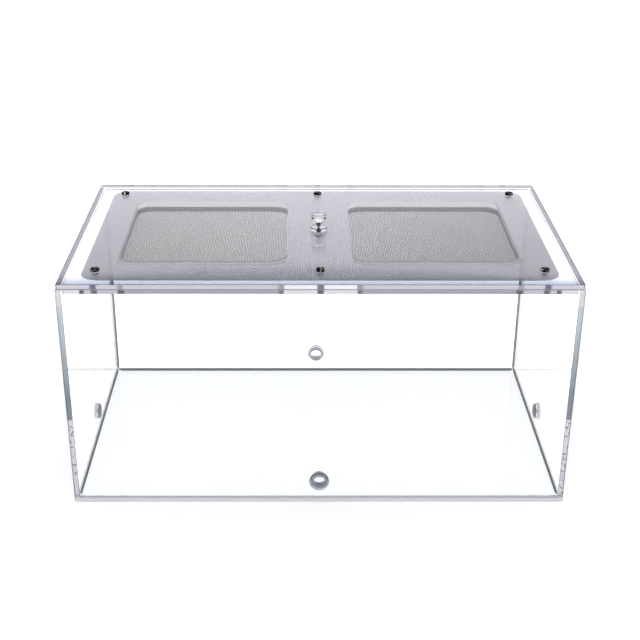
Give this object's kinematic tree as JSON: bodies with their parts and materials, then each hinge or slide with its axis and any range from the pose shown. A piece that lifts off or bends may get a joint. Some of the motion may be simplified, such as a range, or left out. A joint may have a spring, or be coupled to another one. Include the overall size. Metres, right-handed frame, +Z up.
{
  "type": "ant farm",
  "caption": "Clear rectangular ant farm box with tube bushes low in its walls and a lift-off lid that clamps a steel vent mesh.",
  "frame": {"origin": "centre of the floor's underside, which stands on the surface", "axes": "+X along the long side, +Y to the back, +Z up through the lid"},
  "size_m": [0.3044, 0.1744, 0.1583],
  "materials": {
    "clear_acrylic": "clear polished sheet",
    "clear_bush": "clear moulded, slightly grey",
    "steel_mesh": "fine woven stainless wire",
    "dark_screw": "dark bronze plating, glossy"
  },
  "bodies": {
    "box": {"floor_panel": "clear_acrylic", "front_wall": "clear_acrylic", "back_wall": "clear_acrylic", "left_wall": "clear_acrylic", "right_wall": "clear_acrylic", "front_tube_bush": "clear_bush", "back_tube_bush": "clear_bush", "left_tube_bush": "clear_bush", "right_tube_bush": "clear_bush"},
    "lid": {"lid_top_plate": "clear_acrylic", "lid_lower_plate": "clear_acrylic", "mesh_sheet": "steel_mesh", "front_left_screw": "dark_screw", "front_middle_screw": "dark_screw", "front_right_screw": "dark_screw", "back_left_screw": "dark_screw", "back_middle_screw": "dark_screw", "back_right_screw": "dark_screw", "lid_knob": "clear_acrylic", "knob_screw": "dark_screw"}
  },
  "joints": [
    {"name": "lid_lift", "type": "slide", "parent": "box", "child": "lid", "axis": [0, 0, 1], "range_m": [0, 0.15]}
  ]
}
